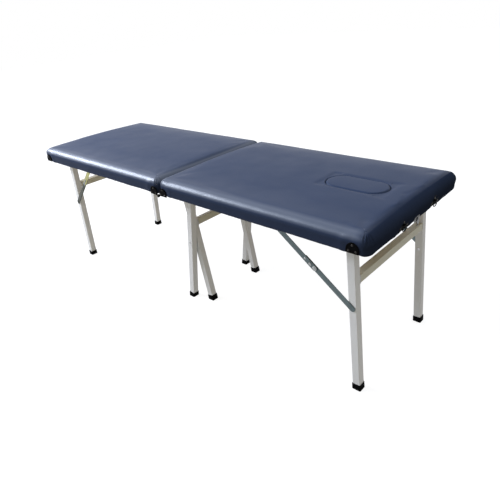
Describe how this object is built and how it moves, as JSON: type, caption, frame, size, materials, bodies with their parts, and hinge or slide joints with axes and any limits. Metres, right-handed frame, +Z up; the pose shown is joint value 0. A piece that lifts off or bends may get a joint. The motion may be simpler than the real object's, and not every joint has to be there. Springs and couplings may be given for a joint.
{
  "type": "portable massage table",
  "caption": "Two-section folding massage table with padded vinyl top, lift-out face-hole plug, splayed square-tube end frames on folding stays and crossed centre legs.",
  "frame": {"origin": "on the floor, below the middle of the fold line", "axes": "+X to the head end with the face hole, +Y to the far long side, +Z up"},
  "size_m": [1.854, 0.6268, 0.627],
  "materials": {
    "vinyl": "smooth satin dark blue-grey artificial leather",
    "foam": "open-cell foam",
    "plywood": "bare plywood",
    "rim_wood": "dark-stained softwood",
    "white_enamel": "smooth white enamel",
    "black_rubber": "matt",
    "black_plastic": "satin moulded",
    "zinc": "zinc-plated flat bar with a faint yellow tint",
    "dark_steel": "plated pressed steel",
    "plated": "bright plated",
    "fastener": "plated steel"
  },
  "bodies": {
    "head_half": {"head_cover": "vinyl", "head_foam": "foam", "head_deck": "plywood", "head_side_rails": "rim_wood", "head_end_rails": "rim_wood", "head_leg_brackets": "dark_steel", "head_centre_brackets": "dark_steel", "head_stay_brackets": "dark_steel", "head_leg_bolts": "fastener", "head_hinge_leaves": "black_plastic", "head_arch_plates": "black_plastic", "head_plate_screws": "fastener", "latch_base": "plated", "outer_axle": "fastener", "hinge_pins": "fastener"},
    "foot_half": {"foot_cover": "vinyl", "foot_foam": "foam", "foot_deck": "plywood", "foot_side_rails": "rim_wood", "foot_end_rails": "rim_wood", "foot_leg_brackets": "dark_steel", "foot_centre_brackets": "dark_steel", "foot_stay_brackets": "dark_steel", "foot_leg_bolts": "fastener", "foot_hinge_leaves": "black_plastic", "foot_arch_plates": "black_plastic", "foot_plate_screws": "fastener", "latch_stud": "plated", "inner_axle": "fastener"},
    "face_plug": {"plug_board": "plywood", "plug_pad": "vinyl"},
    "outer_frame": {"outer_leg_near": "white_enamel", "outer_leg_far": "white_enamel", "outer_foot_caps": "black_rubber", "outer_spreader": "white_enamel", "cross_bolts": "fastener"},
    "inner_frame": {"inner_leg_near": "white_enamel", "inner_leg_far": "white_enamel", "inner_cross_rail": "white_enamel", "inner_foot_caps": "black_rubber", "inner_spreader": "white_enamel"},
    "head_end_frame": {"head_leg_near": "white_enamel", "head_leg_far": "white_enamel", "head_cross_rail": "white_enamel", "head_foot_caps": "black_rubber", "head_stay_bolts": "fastener"},
    "head_upper_links": {"head_upper_links": "zinc", "head_link_rivets": "fastener"},
    "head_lower_links": {"head_lower_links": "zinc"},
    "foot_end_frame": {"foot_leg_near": "white_enamel", "foot_leg_far": "white_enamel", "foot_cross_rail": "white_enamel", "foot_foot_caps": "black_rubber", "foot_stay_bolts": "fastener"},
    "foot_upper_links": {"foot_upper_links": "zinc", "foot_link_rivets": "fastener"},
    "foot_lower_links": {"foot_lower_links": "zinc"},
    "strap_ring_near": {"ring_near": "black_plastic"},
    "strap_ring_far": {"ring_far": "black_plastic"},
    "latch_hook": {"latch_hook": "plated"}
  },
  "joints": [
    {"name": "table_fold", "type": "hinge", "parent": "head_half", "child": "foot_half", "pos_m": [0, 0, 0.552], "axis": [0, -1, 0], "range_deg": [0, 110]},
    {"name": "outer_frame_fold", "type": "hinge", "parent": "head_half", "child": "outer_frame", "pos_m": [0.0446, 0, 0.568], "axis": [0, -1, 0], "range_deg": [0, 56.2]},
    {"name": "inner_frame_fold", "type": "hinge", "parent": "foot_half", "child": "inner_frame", "pos_m": [-0.0446, 0, 0.568], "axis": [0, 1, 0], "range_deg": [0, 56.2]},
    {"name": "head_end_frame_fold", "type": "hinge", "parent": "head_half", "child": "head_end_frame", "pos_m": [0.812, 0, 0.5695], "axis": [0, 1, 0], "range_deg": [0, 94.12]},
    {"name": "head_stay_lift", "type": "hinge", "parent": "head_half", "child": "head_upper_links", "pos_m": [0.5015, 0, 0.5695], "axis": [0, -1, 0], "range_deg": [0, 36.59]},
    {"name": "head_stay_break", "type": "hinge", "parent": "head_upper_links", "child": "head_lower_links", "pos_m": [0.69216, 0, 0.42797], "axis": [0, 1, 0], "range_deg": [0, 180]},
    {"name": "foot_end_frame_fold", "type": "hinge", "parent": "foot_half", "child": "foot_end_frame", "pos_m": [-0.812, 0, 0.5695], "axis": [0, -1, 0], "range_deg": [0, 94.12]},
    {"name": "foot_stay_lift", "type": "hinge", "parent": "foot_half", "child": "foot_upper_links", "pos_m": [-0.585, 0, 0.5695], "axis": [0, 1, 0], "range_deg": [0, 44.88]},
    {"name": "foot_stay_break", "type": "hinge", "parent": "foot_upper_links", "child": "foot_lower_links", "pos_m": [-0.7012, 0, 0.45379], "axis": [0, -1, 0], "range_deg": [0, 180]},
    {"name": "face_plug_lift", "type": "slide", "parent": "head_half", "child": "face_plug", "axis": [0, 0, 1], "range_m": [0, 0.06]},
    {"name": "strap_ring_near_swing", "type": "hinge", "parent": "head_half", "child": "strap_ring_near", "pos_m": [0.9122, -0.108, 0.5765], "axis": [0, -1, 0], "range_deg": [0, 150]},
    {"name": "strap_ring_far_swing", "type": "hinge", "parent": "head_half", "child": "strap_ring_far", "pos_m": [0.9122, 0.108, 0.5765], "axis": [0, -1, 0], "range_deg": [0, 150]},
    {"name": "latch_swing", "type": "hinge", "parent": "head_half", "child": "latch_hook", "pos_m": [0.911, -0.014, 0.5605], "axis": [-1, 0, 0], "range_deg": [0, 43.38]}
  ],
  "couplings": [
    {"joint": "outer_frame_fold", "follows": "table_fold", "ratio": 0.51091},
    {"joint": "inner_frame_fold", "follows": "table_fold", "ratio": 0.51091},
    {"joint": "head_stay_lift", "follows": "head_end_frame_fold", "ratio": 0.38873},
    {"joint": "head_stay_break", "follows": "head_end_frame_fold", "ratio": 1.9125},
    {"joint": "foot_stay_lift", "follows": "foot_end_frame_fold", "ratio": 0.47684},
    {"joint": "foot_stay_break", "follows": "foot_end_frame_fold", "ratio": 1.9125}
  ]
}
